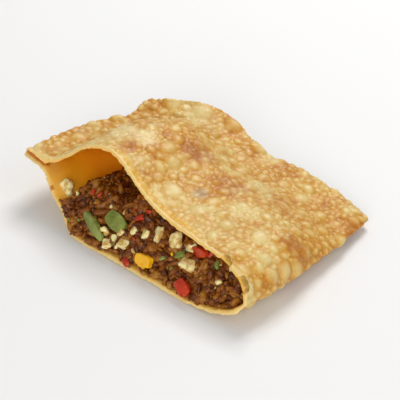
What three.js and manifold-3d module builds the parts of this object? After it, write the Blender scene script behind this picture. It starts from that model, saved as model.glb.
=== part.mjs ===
// Half of a fried turnover: one thin sheet of dough folded over a minced filling, sealed round the
// open side, fried until it blistered, and cut across the middle. Millimetres, +Z up. The cut runs
// along X and faces -Y, the fold lies on the +X side, and the pressed seam runs from the cut's -X
// corner round the back to the tip, where it meets the fold.
import * as THREE from "three";
import { mergeVertices } from "three/addons/utils/BufferGeometryUtils.js";
import Module from "manifold-3d";

// Driving dimensions
const CUT_WIDTH = 120; // seam corner to fold, along the cut
const DEPTH = 83; // cut to the back edge
const SEAM_HEIGHT = 19; // seam corner above the table
const FOLD_HEIGHT = 9.5; // middle of the fold above the table, at the cut
const SHOULDER = 8; // rise of the top sheet over the seam line, away from the steam pocket
const PUFF = 9.2; // extra rise of the top sheet over the steam pocket
const BELLY = 17; // drop of the bottom sheet under the seam line, before the table stops it
const FOLD_ROUND = 20; // width over which the fold rounds off
const FLANGE = 8.5; // width of the pressed seam
const SEAM_THICKNESS = 2.6; // two sheets pressed together
const DOUGH = 1.4; // one sheet
const CUT_LEAN = 0.5; // how far the knife's plane leans back for each mm of height
const CLEARANCE = 0.3; // between the dough and what it holds
const PUFF_CENTRE = 0.33; // where the steam pocket is highest, as a share of the cut's width
const PUFF_NEAR = 0.13; // how fast the pocket falls off towards the seam, as a share of the width
const PUFF_FAR = 0.17; // and towards the fold
const CRIMP_PITCH = 5.2; // marks pressed along the seam
const CRIMP_DEPTH = 0.55;

const wasm = await Module();
wasm.setup();

const clamp01 = (x) => Math.min(1, Math.max(0, x));
const smooth = (low, high, x) => {
  const t = clamp01((x - low) / (high - low));
  return t * t * (3 - 2 * t);
};
// The larger of two heights, with the corner between them rounded over a few millimetres.
const softMax = (a, b, round) => {
  const t = clamp01(0.5 + (a - b) / (2 * round));
  return b + (a - b) * t + round * t * (1 - t);
};

// Repeatable random numbers from 0 to 1.
function dice(seed) {
  let state = seed;
  return () => {
    state = (Math.imul(state, 1664525) + 1013904223) >>> 0;
    return state / 4294967296;
  };
}

// A place given as a share of the cut's width, a share of the depth, and a height in mm.
const place = (across, deep, up) =>
  new THREE.Vector3((across - 0.5) * CUT_WIDTH, (deep - 0.5) * DEPTH, up);

// The outline, at the middle of the seam's thickness: four sides that meet at the cut's two ends,
// at the back corner, which curled up in the oil, and at the tip.
const seamCorner = place(0, 0.01, SEAM_HEIGHT);
const foldCorner = place(1, 0, FOLD_HEIGHT);
const backCorner = place(0.12, 0.8, 24);
const tip = place(0.905, 0.985, 3.2);
const cutSide = new THREE.LineCurve3(seamCorner, foldCorner);
const seamSide = new THREE.CatmullRomCurve3([
  seamCorner,
  place(-0.016, 0.19, 18),
  place(-0.002, 0.41, 18.4),
  place(0.062, 0.62, 19.6),
  place(0.054, 0.71, 22),
  backCorner,
]);
const backSide = new THREE.CatmullRomCurve3([
  backCorner,
  place(0.24, 0.95, 20.5),
  place(0.36, 0.97, 15.5),
  place(0.45, 0.945, 11.5),
  place(0.62, 1.01, 8),
  place(0.77, 1.015, 5.2),
  tip,
]);
const foldSide = new THREE.CatmullRomCurve3([
  foldCorner,
  place(1.0, 0.18, 8.8),
  place(0.965, 0.55, 6.2),
  tip,
]);

// The middle surface between the two sheets: a patch stretched over the four sides. u runs from
// the seam to the fold and v from the cut to the back.
function middle(u, v) {
  const near = cutSide.getPoint(u);
  const far = backSide.getPoint(u);
  const left = seamSide.getPoint(v);
  const right = foldSide.getPoint(v);
  const corners = new THREE.Vector3()
    .addScaledVector(seamCorner, (1 - u) * (1 - v))
    .addScaledVector(foldCorner, u * (1 - v))
    .addScaledVector(backCorner, (1 - u) * v)
    .addScaledVector(tip, u * v);
  return new THREE.Vector3()
    .addScaledVector(near, 1 - v)
    .addScaledVector(far, v)
    .addScaledVector(left, 1 - u)
    .addScaledVector(right, u)
    .sub(corners);
}

// The width of the piece at a depth v, and a point's distances from its sides, in mm.
const widthAt = (v) => seamSide.getPoint(v).distanceTo(foldSide.getPoint(v));
const fromSeam = (u, v) => u * widthAt(v);
const fromFold = (u, v) => (1 - u) * widthAt(v);
const fromBack = (v) => (1 - v) * DEPTH;

// How far the sheets stand apart, from 0 in the pressed seam to 1 well inside it, over a width in
// from the seam's side and from its back.
function opened(u, v, sideWidth, backWidth) {
  const side = smooth(FLANGE, FLANGE + sideWidth, fromSeam(u, v));
  const back = smooth(FLANGE, FLANGE + backWidth, fromBack(v));
  return side * back;
}

// The rounding of the fold: 0 at its outermost line and 1 where the sheets run flat.
function rounded(u, v, inset) {
  const reach = FOLD_ROUND * (1 - 0.45 * v) - inset;
  const in_ = clamp01(1 - (fromFold(u, v) - inset) / reach);
  return Math.sqrt(Math.max(0, 1 - in_ * in_));
}

// The larger blisters of the crust: round swellings scattered over both sheets.
const BLISTERS = (() => {
  const random = dice(41);
  return Array.from({ length: 46 }, () => ({
    u: 0.05 + 0.93 * random(),
    v: 0.02 + 0.94 * random(),
    radius: 4 + 4 * random(),
    height: 0.5 + 0.9 * random(),
    top: random() < 0.62,
  }));
})();

function blistered(u, v, top) {
  let height = 0;
  for (const b of BLISTERS) {
    if (b.top !== top) continue;
    const far = Math.hypot((u - b.u) * widthAt(v), (v - b.v) * DEPTH) / b.radius;
    if (far < 1) height += b.height * (1 - far * far) ** 2;
  }
  return height;
}

// Rise of the top sheet above the middle surface: a low shoulder all over, and the steam pocket.
function rise(u, v, inset) {
  const side = u < PUFF_CENTRE ? PUFF_NEAR : PUFF_FAR;
  const puff = Math.exp(-(((u - PUFF_CENTRE) / side) ** 2)) * smooth(1.0, 0.1, v);
  const swell = SHOULDER * (1 + 0.35 * smooth(0, 0.45, v)) * smooth(1.12, 0.5, v);
  return (
    (swell * rounded(u, v, inset) + PUFF * puff) * opened(u, v, 21, 34) * (1 - 0.25 * v)
  );
}

// Drop of the bottom sheet under the middle surface. The table stops it at height 0.
const drop = (u, v, inset) => {
  const deep = (BELLY - 9.2 * smooth(0.5, 0.95, u)) * (1 - (0.05 + 0.5 * u) * v);
  return deep * rounded(u, v, inset) * opened(u, v, 36, 32);
};

// Marks pressed into the seam, as a change of its thickness.
function crimp(u, v) {
  const along = v * DEPTH * (1 - smooth(0.85, 1, v)) + u * CUT_WIDTH;
  const inSeam = 1 - Math.min(smooth(2, FLANGE, fromSeam(u, v)), smooth(2, FLANGE, fromBack(v)));
  const faded = smooth(0, 8, fromFold(u, v));
  return CRIMP_DEPTH * inSeam * faded * Math.sin((2 * Math.PI * along) / CRIMP_PITCH);
}

// Moves a point of the middle surface up or down by a height, along the knife's lean at the cut.
function lifted(u, v, height) {
  const at = middle(u, v);
  at.y += CUT_LEAN * height * (1 - v) ** 2;
  at.z += height;
  return at;
}

// Shares from 0 to 1 in equal steps, drawn together towards the end so that the fold stays round.
const steps = (count, low, high) =>
  Array.from({ length: count + 1 }, (_, i) => low + ((high - low) * i) / count);
const foldSteps = (count, low, high) =>
  steps(count, 0, 1).map((t) => low + (high - low) * (0.72 * t + 0.28 * Math.sin((t * Math.PI) / 2)));

// The grid of the outer faces, as shares of the width and of the depth.
const OUTER_US = foldSteps(36, 0, 1);
const OUTER_VS = steps(22, 0, 1);

// The bottom sheet lies on the crowns of four low blisters, and is a little clear of the table
// between them. Each is given by its place in the outer grid, so that its lowest point is exact.
const REST_CLEARANCE = 0.35;
const REST_RADIUS = 9;
const RESTS = [
  [12, 1],
  [26, 1],
  [25, 12],
  [13, 12],
].map(([i, j]) => ({ u: OUTER_US[i], v: OUTER_VS[j] }));

function tableClearance(u, v) {
  const away = RESTS.map((rest) =>
    Math.hypot((u - rest.u) * widthAt(v), (v - rest.v) * DEPTH),
  );
  return REST_CLEARANCE * smooth(0, REST_RADIUS, Math.min(...away));
}

// One sheet's outer face, or the same face moved into the food by an inset.
function topFace(u, v, inset = 0) {
  const half = (SEAM_THICKNESS / 2) * rounded(u, v, inset);
  const outer = half + crimp(u, v) * 0.5 + rise(u, v, inset) + blistered(u, v, true) * rounded(u, v, 0);
  return lifted(u, v, Math.max(outer - inset, 0.04));
}

function bottomFace(u, v, inset = 0) {
  const half = (SEAM_THICKNESS / 2) * rounded(u, v, inset);
  const outer = half - crimp(u, v) * 0.5 + drop(u, v, inset);
  const at = middle(u, v);
  const height = softMax(at.z - outer, tableClearance(u, v), 1.2) + inset;
  return lifted(u, v, Math.min(height - at.z, -0.04));
}

// Closes a solid over a grid of top points and a grid of bottom points, [u][v], which share their
// two side lines or stand apart there. Rows between the two front edges may shape the front.
function closedBetween(top, bottom, front = []) {
  const corners = [];
  const quad = (a, b, c, d) => corners.push(a, b, c, a, c, d);
  const rows = [top.map((line) => line[0]), ...front, bottom.map((line) => line[0])];
  const last = top.length - 1;
  const end = top[0].length - 1;
  for (let i = 0; i < last; i++) {
    for (let j = 0; j < end; j++) {
      quad(top[i][j], top[i + 1][j], top[i + 1][j + 1], top[i][j + 1]);
      quad(bottom[i][j], bottom[i][j + 1], bottom[i + 1][j + 1], bottom[i + 1][j]);
    }
    for (let k = 0; k + 1 < rows.length; k++)
      quad(rows[k + 1][i], rows[k + 1][i + 1], rows[k][i + 1], rows[k][i]);
    quad(top[i][end], top[i + 1][end], bottom[i + 1][end], bottom[i][end]);
  }
  for (let j = 0; j < end; j++) {
    quad(top[0][j], top[0][j + 1], bottom[0][j + 1], bottom[0][j]);
    quad(top[last][j + 1], top[last][j], bottom[last][j], bottom[last][j + 1]);
  }
  for (let k = 1; k + 1 < rows.length; k++) {
    corners.push(rows[0][0], rows[k + 1][0], rows[k][0]);
    corners.push(rows[0][last], rows[k][last], rows[k + 1][last]);
  }
  return solidFrom(new THREE.BufferGeometry().setFromPoints(corners));
}

// A manifold-3d solid from a closed three.js geometry.
function solidFrom(geometry) {
  const bare = new THREE.BufferGeometry().setAttribute(
    "position",
    (geometry.index ? geometry.toNonIndexed() : geometry).getAttribute("position"),
  );
  const merged = mergeVertices(bare, 1e-3);
  const triVerts = [];
  for (let i = 0; i < merged.index.count; i += 3) {
    const [a, b, c] = [0, 1, 2].map((k) => merged.index.getX(i + k));
    if (a !== b && b !== c && c !== a) triVerts.push(a, b, c);
  }
  return new wasm.Manifold(
    new wasm.Mesh({
      numProp: 3,
      vertProperties: merged.attributes.position.array,
      triVerts: new Uint32Array(triVerts),
    }),
  );
}

function geometryOf(solid) {
  const mesh = solid.getMesh();
  const points = new Float32Array(mesh.numVert * 3);
  for (let i = 0; i < mesh.numVert; i++)
    points.set(mesh.vertProperties.subarray(i * mesh.numProp, i * mesh.numProp + 3), i * 3);
  const geometry = new THREE.BufferGeometry()
    .setAttribute("position", new THREE.BufferAttribute(points, 3))
    .setIndex(new THREE.BufferAttribute(mesh.triVerts, 1));
  geometry.computeVertexNormals();
  return geometry;
}

// A cut can leave slivers along two faces that almost meet: the largest solid is the one kept.
const largest = (solid) => solid.decompose().sort((a, b) => b.volume() - a.volume())[0];

// The whole half before it is hollowed: both sheets, closed by the knife's cut.
function pillow() {
  const top = OUTER_US.map((u) => OUTER_VS.map((v) => topFace(u, v)));
  const bottom = OUTER_US.map((u) => OUTER_VS.map((v) => bottomFace(u, v)));
  return closedBetween(top, bottom);
}

// The hollow between the sheets, from the inner line of the seam out through the cut.
function hollow(inset) {
  const us = foldSteps(28, (FLANGE * 0.9) / CUT_WIDTH, 1 - inset / CUT_WIDTH);
  const vs = steps(17, 0, 1 - (FLANGE * 1.1) / DEPTH);
  const outwards = new THREE.Vector3(0, -DEPTH / 4, 0);
  const line = (face, u) => {
    const points = vs.map((v) => face(u, v, inset));
    return [points[0].clone().add(outwards), ...points];
  };
  const top = us.map((u) => line(topFace, u));
  const bottom = us.map((u) => line(bottomFace, u));
  return closedBetween(top, bottom);
}

// Level of the filling above the middle surface: packed under the top sheet on the fold's side,
// and sloping down to the bottom sheet under the steam pocket.
const FILL_START = 0.2;
const fillLevel = (u, v) =>
  -BELLY + (BELLY + 2.2) * smooth(0.155, 0.285, u) + 15 * smooth(0.41, 0.57, u) - 1.5 * smooth(0, 0.3, v);

// How far the filling stands out of the cut (positive) or back from it, at a height above the
// middle surface.
const bulge = (u, height) =>
  1.8 * smooth(0.92, 0.8, u) * smooth(-2, -8, height) - 6.5 * smooth(-4, 7, height) - 1.6;

// Lumps of mince that show where the filling was cut.
const lumps = (u, height) =>
  1.0 * Math.sin(u * 71 + 1.3 * Math.sin(height)) * Math.sin(height * 1.05 + 9 * u);

// The minced filling, which runs through the half from the cut to the back of the pocket. The
// block reaches into the dough and is cut back to the hollow, less a clearance.
function fillingBlock() {
  const us = foldSteps(30, FILL_START, 1 - 0.3 / CUT_WIDTH);
  const vs = steps(12, 0.1, 1 - (FLANGE * 2.1) / DEPTH);
  const shares = steps(8, 1, 0);
  // The mince stops short of the fold as the hollow gets lower towards the back.
  const short = (u, v) => FILL_START + (u - FILL_START) * (1 - 0.14 * v);
  const lump = (u, v) => 0.5 * Math.sin(u * 60) * Math.sin(v * 40);
  const limits = us.map((end) =>
    [0, ...vs].map((v) => {
      const u = short(end, v);
      const floor = bottomFace(u, v);
      const roof = topFace(u, v);
      const middleHeight = middle(u, v).z;
      const level = Math.min(roof.z, middleHeight + fillLevel(u, v) + lump(u, v));
      return { floor, roof: lifted(u, v, Math.max(floor.z + 0.08, level) - middleHeight) };
    }),
  );
  const top = limits.map((line) => line.slice(1).map((p) => p.roof));
  const bottom = limits.map((line) => line.slice(1).map((p) => p.floor));
  const front = shares.map((share) =>
    us.map((u, i) => {
      const { floor, roof } = limits[i][0];
      const at = new THREE.Vector3().lerpVectors(floor, roof, share);
      const height = at.z - middle(u, 0).z;
      const inside = Math.min(share, 1 - share) > 0 && i > 0 && i < us.length - 1;
      at.y -= bulge(u, height) + (inside ? lumps(u, height) : 0);
      return at;
    }),
  );
  return closedBetween(top, bottom, front);
}

// A cut piece of vegetable: a rounded slab that may be bent, as a slice of pepper wall is.
function slab({ length, width, thick, taper = 0.25 }) {
  const outline = new THREE.Shape();
  const a = length / 2;
  const b = width / 2;
  outline.moveTo(-a, -b * (1 - taper));
  outline.quadraticCurveTo(0, -b * (1 + taper), a, -b * (1 - taper));
  outline.quadraticCurveTo(a * (1 + taper), 0, a, b * (1 - taper));
  outline.quadraticCurveTo(0, b * (1 + taper), -a, b * (1 - taper));
  outline.quadraticCurveTo(-a * (1 + taper), 0, -a, -b * (1 - taper));
  return new THREE.ExtrudeGeometry(outline, {
    depth: thick,
    bevelEnabled: false,
    curveSegments: 3,
  }).translate(0, 0, -thick / 2);
}

// The vegetable pieces that are large enough to show as pieces of their own in the cut. across is
// the share of the cut's width, height is above the middle surface, out is how far the piece's
// middle stands in front of the knife's plane, and turn is the slab's angle in that plane.
const VEGETABLES = [
  {
    name: "green_pepper_strip", colour: 0x6b8a2c,
    across: 0.376, height: -7.2, out: 0.4, turn: -26, tilt: 12,
    length: 12.5, width: 4.6, thick: 2.2,
  },
  {
    name: "green_pepper_slice", colour: 0x7d9a36,
    across: 0.441, height: -2.6, out: -1.5, turn: -14, tilt: -20,
    length: 8.4, width: 6.4, thick: 2.2,
  },
  {
    name: "yellow_pepper", colour: 0xf2b012,
    across: 0.603, height: -6.8, out: 0.4, turn: 8, tilt: 10,
    length: 7.4, width: 4.8, thick: 2.4,
  },
  {
    name: "red_pepper_dice", colour: 0x9c2016,
    across: 0.774, height: -6.7, out: 0.4, turn: -25, tilt: -8,
    length: 6.2, width: 5, thick: 2.6,
  },
  {
    name: "red_pepper_strip", colour: 0xa82a14,
    across: 0.756, height: 2.7, out: -5.4, turn: 12, tilt: 20,
    length: 7.8, width: 3.6, thick: 2.2,
  },
];

function matrixOf({ across, height, out, turn, tilt }, grow = 0, size = null) {
  const at = middle(across, 0);
  at.y += CUT_LEAN * height - out;
  at.z += height;
  const faceCut = new THREE.Quaternion().setFromEuler(
    new THREE.Euler(Math.PI / 2 - Math.atan(CUT_LEAN), 0, 0),
  );
  const inPlane = new THREE.Quaternion().setFromEuler(
    new THREE.Euler(
      THREE.MathUtils.degToRad(tilt),
      THREE.MathUtils.degToRad(-tilt / 2),
      THREE.MathUtils.degToRad(turn),
    ),
  );
  const scale = new THREE.Vector3(1, 1, 1);
  if (size) scale.set(1 + grow / size.length, 1 + grow / size.width, 1 + grow / size.thick);
  return new THREE.Matrix4().compose(at, faceCut.multiply(inPlane), scale);
}

const doughMaterial = new THREE.MeshStandardMaterial({ color: 0xd9a55c, roughness: 0.5, metalness: 0 });
const fillingMaterial = new THREE.MeshStandardMaterial({ color: 0x6b3f1c, roughness: 0.6, metalness: 0 });

function named(name, geometry, material) {
  const mesh = new THREE.Mesh(geometry, material);
  mesh.name = name;
  return mesh;
}

function makeHalf() {
  const group = new THREE.Group();
  const shell = pillow().subtract(hollow(DOUGH));
  const room = hollow(DOUGH + CLEARANCE);
  let filling = fillingBlock().intersect(room);
  for (const piece of VEGETABLES) {
    const socket = slab(piece).applyMatrix4(matrixOf(piece, 2 * CLEARANCE, piece));
    filling = filling.subtract(solidFrom(socket));
    const material = new THREE.MeshStandardMaterial({ color: piece.colour, roughness: 0.35, metalness: 0 });
    const cut = solidFrom(slab(piece).applyMatrix4(matrixOf(piece))).intersect(room);
    group.add(named(piece.name, geometryOf(largest(cut)), material));
  }
  group.add(named("crust", geometryOf(largest(shell)), doughMaterial));
  group.add(named("filling", geometryOf(largest(filling)), fillingMaterial));
  // The origin is the middle of the half's footprint, on the table.
  const box = new THREE.Box3().setFromObject(group);
  const centre = box.getCenter(new THREE.Vector3());
  group.position.set(-centre.x, -centre.y, -box.min.z);
  return group;
}

export default makeHalf();
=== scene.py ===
# %% [markdown]
# # A fried turnover, cut in half
# The object is one half of an empanada: a thin sheet of dough folded over spiced mince, sealed,
# fried until it blistered, and cut across. The CAD model gives us its true form as plain solids.
# Here we dress that form: blisters and toasted colour on the crust, crumbs of mince and small
# pieces of vegetable at the cut, and a soft light that shows them.

# %% Load the frame
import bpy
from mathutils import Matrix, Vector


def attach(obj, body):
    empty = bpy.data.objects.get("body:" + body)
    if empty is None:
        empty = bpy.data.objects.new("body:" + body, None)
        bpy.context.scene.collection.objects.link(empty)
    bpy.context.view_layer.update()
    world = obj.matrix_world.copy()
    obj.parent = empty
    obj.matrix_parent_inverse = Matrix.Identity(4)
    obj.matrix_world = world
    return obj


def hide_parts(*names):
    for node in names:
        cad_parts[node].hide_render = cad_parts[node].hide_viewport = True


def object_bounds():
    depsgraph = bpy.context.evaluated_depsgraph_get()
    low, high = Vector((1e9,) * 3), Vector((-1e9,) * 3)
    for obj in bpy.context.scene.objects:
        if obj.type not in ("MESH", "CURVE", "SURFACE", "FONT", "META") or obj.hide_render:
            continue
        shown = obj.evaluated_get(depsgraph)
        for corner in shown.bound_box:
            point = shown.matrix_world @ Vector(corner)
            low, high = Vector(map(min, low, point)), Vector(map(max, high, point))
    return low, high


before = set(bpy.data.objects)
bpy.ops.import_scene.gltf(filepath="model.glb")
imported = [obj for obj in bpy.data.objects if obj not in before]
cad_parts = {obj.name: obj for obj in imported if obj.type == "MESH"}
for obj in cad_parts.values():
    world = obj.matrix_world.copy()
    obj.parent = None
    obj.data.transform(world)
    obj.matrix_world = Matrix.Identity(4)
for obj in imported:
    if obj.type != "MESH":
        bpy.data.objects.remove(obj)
cad_box = [[float(n) for n in corner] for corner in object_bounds()]

import math
import random
import time
from collections import deque
from itertools import product

import bmesh
import bpy
import numpy as np
from mathutils import Matrix, Quaternion, Vector, noise
from mathutils.bvhtree import BVHTree
from mathutils.kdtree import KDTree

MM = 0.001
started = time.time()
print("CAD nodes:", sorted(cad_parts))
print("CAD box in mm:", np.round(np.array(cad_box) / MM, 1).tolist())

# %% [markdown]
# ## Small helpers for meshes
# Most of the shaping below moves every point of a fine mesh at once, so it helps to read and
# write a mesh's points as one NumPy array. A CAD node is never changed: we always work on a copy
# whose loose triangles have been merged. Two kinds of soft number recur, a step between two
# values and a cloudy noise, so both have a short name.

# %% Mesh helpers
def only(piece):
    """Selects one object and nothing else, so that an operator acts on it alone."""
    if bpy.context.object and bpy.context.object.mode != "OBJECT":
        bpy.ops.object.mode_set(mode="OBJECT")
    bpy.ops.object.select_all(action="DESELECT")
    piece.select_set(True)
    bpy.context.view_layer.objects.active = piece


def merged_copy(node, name):
    """A copy of a CAD node as one connected mesh."""
    piece = bpy.data.objects.new(name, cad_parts[node].data.copy())
    piece.data.name = name
    piece.data.materials.clear()
    bpy.context.scene.collection.objects.link(piece)
    shape = bmesh.new()
    shape.from_mesh(piece.data)
    bmesh.ops.remove_doubles(shape, verts=shape.verts, dist=2e-6)
    shape.to_mesh(piece.data)
    shape.free()
    return piece


def points(piece):
    """The mesh's points, one row each."""
    found = np.empty(len(piece.data.vertices) * 3)
    piece.data.vertices.foreach_get("co", found)
    return found.reshape(-1, 3)


def set_points(piece, moved):
    piece.data.vertices.foreach_set("co", np.ascontiguousarray(moved, float).ravel())
    piece.data.update()


def point_normals(piece):
    found = np.empty(len(piece.data.vertices) * 3)
    piece.data.vertex_normals.foreach_get("vector", found)
    return found.reshape(-1, 3)


def keep_value(piece, name, values):
    """Stores one number per point, for a material to read."""
    layer = piece.data.attributes.new(name, "FLOAT", "POINT")
    layer.data.foreach_set("value", np.ascontiguousarray(values, np.float32))


def finish_modifier(piece, kind, **settings):
    """Adds one modifier, sets it and applies it."""
    only(piece)
    modifier = piece.modifiers.new(kind.title(), kind)
    for key, value in settings.items():
        setattr(modifier, key, value)
    bpy.ops.object.modifier_apply(modifier=modifier.name)


def smooth_shaded(piece):
    piece.data.polygons.foreach_set("use_smooth", [True] * len(piece.data.polygons))
    piece.data.update()


def ramp(low, high, values):
    """0 below low, 1 above high, and a soft step between."""
    t = np.clip((np.asarray(values, float) - low) / (high - low), 0, 1)
    return t * t * (3 - 2 * t)


def waves(at, size, seed, octaves=3):
    """Cloudy numbers from about -1 to 1 at each point, whose clouds are about size across."""
    shift = Vector((seed * 7.13, seed * 3.77, seed * 5.39))
    return np.array([noise.fractal(Vector(p) / size + shift, 0.9, 2.0, octaves) for p in at])


# %% [markdown]
# ## Small helpers for materials
# A material is a web of nodes. Written out node by node it is hard to read, so one small class
# wraps a socket: sums and products of wrapped sockets add the Math nodes for us, and one method
# makes any other node from its type, its settings and its inputs.

# %% Shader helpers
class Wire:
    """A node's output that can be used in sums like a number."""

    def __init__(self, tree, socket):
        self.tree = tree
        self.socket = socket

    def _math(self, operation, *values):
        return self.make("ShaderNodeMath", {"operation": operation}, dict(enumerate(values)))

    def make(self, kind, settings=None, inputs=None, out=0):
        """Adds any node. Settings come first, because some change the node's sockets."""
        node = self.tree.nodes.new(kind)
        for key, value in (settings or {}).items():
            if key == "stops":
                for extra in range(len(value) - 2):
                    node.color_ramp.elements.new(0.5)
                for element, (position, colour) in zip(node.color_ramp.elements, value):
                    element.position = position
                    element.color = (*colour, 1)
            else:
                setattr(node, key, value)
        for key, value in (inputs or {}).items():
            socket = node.inputs[key]
            if isinstance(value, Wire):
                self.tree.links.new(value.socket, socket)
            elif isinstance(value, tuple) and len(value) == 3 and socket.type == "RGBA":
                socket.default_value = (*value, 1)
            else:
                socket.default_value = value
        return Wire(self.tree, node.outputs[out])

    def __add__(self, other): return self._math("ADD", self, other)
    def __radd__(self, other): return self._math("ADD", other, self)
    def __sub__(self, other): return self._math("SUBTRACT", self, other)
    def __rsub__(self, other): return self._math("SUBTRACT", other, self)
    def __mul__(self, other): return self._math("MULTIPLY", self, other)
    def __rmul__(self, other): return self._math("MULTIPLY", other, self)

    def step(self, low, high):
        """0 below low, 1 above high, and a soft step between."""
        return self.make(
            "ShaderNodeMapRange",
            {"interpolation_type": "SMOOTHSTEP"},
            {"Value": self, "From Min": low, "From Max": high},
        )

    def mixed(self, low, high):
        """Fades from colour low to colour high as this value goes from 0 to 1."""
        settings = {"data_type": "RGBA", "blend_type": "MIX"}
        return self.make("ShaderNodeMix", settings, {0: self, 6: low, 7: high}, out=2)

    def coloured(self, *stops):
        """Turns this value into a colour, by (position, colour) stops of a ramp."""
        return self.make("ShaderNodeValToRGB", {"stops": stops}, {"Fac": self})

    def attribute(self, name):
        """A number that was kept on the points."""
        return self.make("ShaderNodeAttribute", {"attribute_name": name}, out=2)

    def clouds(self, scale, detail=3.0, roughness=0.55):
        inputs = {"Vector": self, "Scale": scale, "Detail": detail, "Roughness": roughness}
        return self.make("ShaderNodeTexNoise", {}, inputs)

    def cells(self, scale):
        return self.make("ShaderNodeTexVoronoi", {}, {"Vector": self, "Scale": scale})


def new_material(name, **fixed):
    """A material with a Principled shader, its place wire, and the shader's node."""
    material = bpy.data.materials.new(name)
    material.use_nodes = True
    shader = material.node_tree.nodes["Principled BSDF"]
    for key, value in fixed.items():
        shader.inputs[key.replace("_", " ")].default_value = value
    here = Wire(material.node_tree, None).make("ShaderNodeTexCoord", out=3)
    return material, here, shader


def plug(shader, **links):
    """Links wires to the shader's sockets."""
    for key, wire in links.items():
        wire.tree.links.new(wire.socket, shader.inputs[key.replace("_", " ")])


def bump(height, strength, depth):
    """A Bump node for a height wire; depth is the height of its relief in metres."""
    return height.make(
        "ShaderNodeBump", {}, {"Strength": strength, "Distance": depth, "Height": height}
    )


# %% [markdown]
# ## The crust
# The CAD shell has the right form but its faces are flat and wide. A voxel remesh rebuilds the
# same closed shell from small even squares, which gives us enough points to raise blisters of a
# millimetre or two. A little smoothing takes out the last trace of the wide faces.

# %% Rebuild the shell with small faces
CUT_LEAN = 0.5  # how far the knife leaned: its rise for each step forward
ALONG_KNIFE = 0.985  # least cosine between a facet of the cut edge and the knife
FRONT = -20 * MM  # the cut edge lies in front of this
SHELL_GRAIN = 0.46 * MM

crust = merged_copy("crust", "blistered_crust")
lean = Vector((0, -1, CUT_LEAN)).normalized()
cut_edge = np.array([
    facet.center for facet in crust.data.polygons
    if facet.normal.dot(lean) > ALONG_KNIFE and facet.center.y < FRONT
])
fit = np.c_[np.ones(len(cut_edge)), cut_edge[:, 0], cut_edge[:, 2]]
knife = np.linalg.lstsq(fit, cut_edge[:, 1], rcond=None)[0]
print("knife's plane, y = a + bx + cz:", np.round(knife, 4), "from", len(cut_edge), "facets")

finish_modifier(crust, "REMESH", mode="VOXEL", voxel_size=SHELL_GRAIN, adaptivity=0)
finish_modifier(crust, "SMOOTH", factor=0.5, iterations=9)
print("shell:", len(crust.data.vertices), "points", round(time.time() - started, 1), "s")

# %% [markdown]
# ## Which side of the dough is which
# Blisters rise on the outside, the inside stays smoother and oilier, and the knife left a pale
# edge between them. We find the three by walking over the mesh: the points close to the knife's
# plane are the edge, what can be reached from the highest point without crossing it is the
# outside, and the rest is the inside.

# %% Sort the points into outside, cut edge and inside
def behind_knife(at):
    """How far each point lies behind the knife's plane."""
    plane = knife[0] + knife[1] * at[:, 0] + knife[2] * at[:, 2]
    return (at[:, 1] - plane) / math.sqrt(1 + knife[2] ** 2)


def walk(piece, blocked, start):
    """Every point that can be reached from start without stepping on a blocked one."""
    edges = np.empty(len(piece.data.edges) * 2, np.int64)
    piece.data.edges.foreach_get("vertices", edges)
    neighbours = [[] for _ in range(len(piece.data.vertices))]
    for a, b in edges.reshape(-1, 2).tolist():
        neighbours[a].append(b)
        neighbours[b].append(a)
    reached = np.zeros(len(neighbours), bool)
    reached[start] = True
    queue = deque([start])
    while queue:
        for other in neighbours[queue.popleft()]:
            if not reached[other] and not blocked[other]:
                reached[other] = True
                queue.append(other)
    return reached


EDGE_BAND = 0.75 * MM
shell = points(crust)
cut_distance = behind_knife(shell)
at_cut = np.abs(cut_distance) < EDGE_BAND
top_point = int(np.argmax(np.where(at_cut, -1, shell[:, 2])))
outside = walk(crust, at_cut, top_point)
inside = ~outside & ~at_cut
print("outside", int(outside.sum()), "cut edge", int(at_cut.sum()), "inside", int(inside.sum()))

# %% [markdown]
# ## Blisters
# Water in the dough boils in the oil and lifts its skin into round blisters that crowd each
# other: a few large ones, many middling ones, and small ones in whatever room is left. We throw
# seeds on the outside from the largest to the smallest, keep a seed only where it fits between
# its neighbours, and raise a dome over each. Most domes are low with a soft foot, so where two
# meet we blend them with a power mean instead of letting the higher one win: the skin is one
# sheet, and it doesn't crease as sharply as pebbles lying side by side would.

# %% Scatter the blisters
dice = random.Random(7)
FAMILIES = [  # radius from, radius to in mm, tries, crowding
    (2.6, 3.8, 160, 1.0),
    (1.9, 2.5, 1100, 0.86),
    (1.3, 1.8, 3600, 0.8),
    (0.85, 1.2, 9000, 0.76),
    (0.55, 0.8, 9000, 0.8),
]
LARGE = [  # the largest ones: x, y, radius in mm
    (5.7, -20.5, 4.3), (19.8, -21.0, 4.0), (-13.0, -26.4, 3.4), (17.5, 8.4, 3.8),
    (44.8, -14.7, 3.4), (47.7, 2.6, 3.0), (53.9, -21.1, 2.8), (33.0, -19.5, 3.2),
    (-27.0, 14.0, 4.4), (2.0, 22.0, 4.2), (30.0, 14.0, 3.6), (-40.0, 12.0, 3.8),
    (-33.0, 34.0, 5.2), (38.0, -3.0, 3.2), (-5.0, -10.0, 3.6), (16.0, 30.0, 3.4),
    (-20.0, 39.0, 4.6), (-6.0, 41.0, 4.2), (-44.0, 27.0, 4.0), (5.0, 38.5, 3.6),
]
CELL = 5 * MM  # blisters are filed in cubes of this size, to find a seed's neighbours quickly
LEAST_HEIGHT = 0.06 * MM
normals = point_normals(crust)
upper = np.flatnonzero(outside & (normals[:, 2] > 0.3))
busy = waves(shell, 10 * MM, 61, 2)  # small blisters are fewer where this is low
blisters = []  # place, normal, radius, height, roundness, stretch axis, stretch, tone
filed = {}


def cell_of(place):
    return tuple(int(math.floor(c / CELL)) for c in place)


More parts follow.
